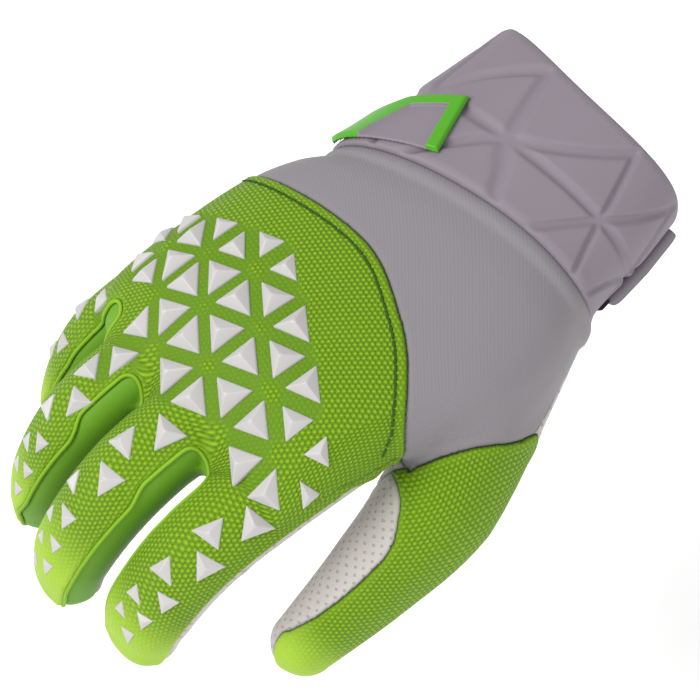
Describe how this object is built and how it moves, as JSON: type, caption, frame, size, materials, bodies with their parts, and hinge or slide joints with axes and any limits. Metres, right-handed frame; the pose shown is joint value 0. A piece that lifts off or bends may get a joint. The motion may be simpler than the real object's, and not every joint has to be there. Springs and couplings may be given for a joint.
{
  "type": "motocross glove",
  "caption": "Right-hand off-road riding glove with a knuckle mesh of raised triangular studs, a ribbed back panel, a suede palm and a moulded cuff with a strap.",
  "frame": {"origin": "centre of the wrist opening", "axes": "+Y from the wrist towards the fingertips, +Z out of the back of the hand, -X towards the thumb"},
  "size_m": [0.1399, 0.2106, 0.0817],
  "materials": {
    "knuckle_mesh": "open warp-knit mesh, bright green",
    "gusset_fabric": "smooth stretch fabric, darker green",
    "stretch_fabric": "finely ribbed stretch fabric, grey",
    "suede": "thin synthetic suede, off-white",
    "cuff_rubber": "moulded foam-backed rubber, matte grey",
    "stud_rubber": "silver printed rubber, satin",
    "badge_rubber": "moulded rubber, bright green, bare field",
    "hook_fabric": "hook fastener fabric, black"
  },
  "bodies": {
    "root": {"cuff": "cuff_rubber", "hook_patch": "hook_fabric", "closure_strap": "cuff_rubber", "badge": "badge_rubber", "back_panel": "knuckle_mesh", "hand_panel": "stretch_fabric", "palm_panel": "suede", "thumb_panel": "knuckle_mesh", "thumb_front": "suede", "gusset_index_middle": "gusset_fabric", "gusset_middle_ring": "gusset_fabric", "gusset_ring_little": "gusset_fabric", "stud_01": "stud_rubber", "stud_02": "stud_rubber", "stud_03": "stud_rubber", "stud_04": "stud_rubber", "stud_05": "stud_rubber", "stud_06": "stud_rubber", "stud_07": "stud_rubber", "stud_08": "stud_rubber", "stud_09": "stud_rubber", "stud_10": "stud_rubber", "stud_11": "stud_rubber", "stud_12": "stud_rubber", "stud_13": "stud_rubber", "stud_14": "stud_rubber", "stud_15": "stud_rubber", "stud_16": "stud_rubber", "stud_17": "stud_rubber", "stud_18": "stud_rubber", "stud_19": "stud_rubber", "stud_20": "stud_rubber", "stud_21": "stud_rubber", "stud_22": "stud_rubber", "stud_23": "stud_rubber", "stud_24": "stud_rubber", "stud_25": "stud_rubber", "stud_26": "stud_rubber", "stud_27": "stud_rubber", "stud_28": "stud_rubber", "stud_29": "stud_rubber", "stud_30": "stud_rubber", "stud_31": "stud_rubber", "stud_32": "stud_rubber", "stud_33": "stud_rubber"}
  },
  "joints": []
}
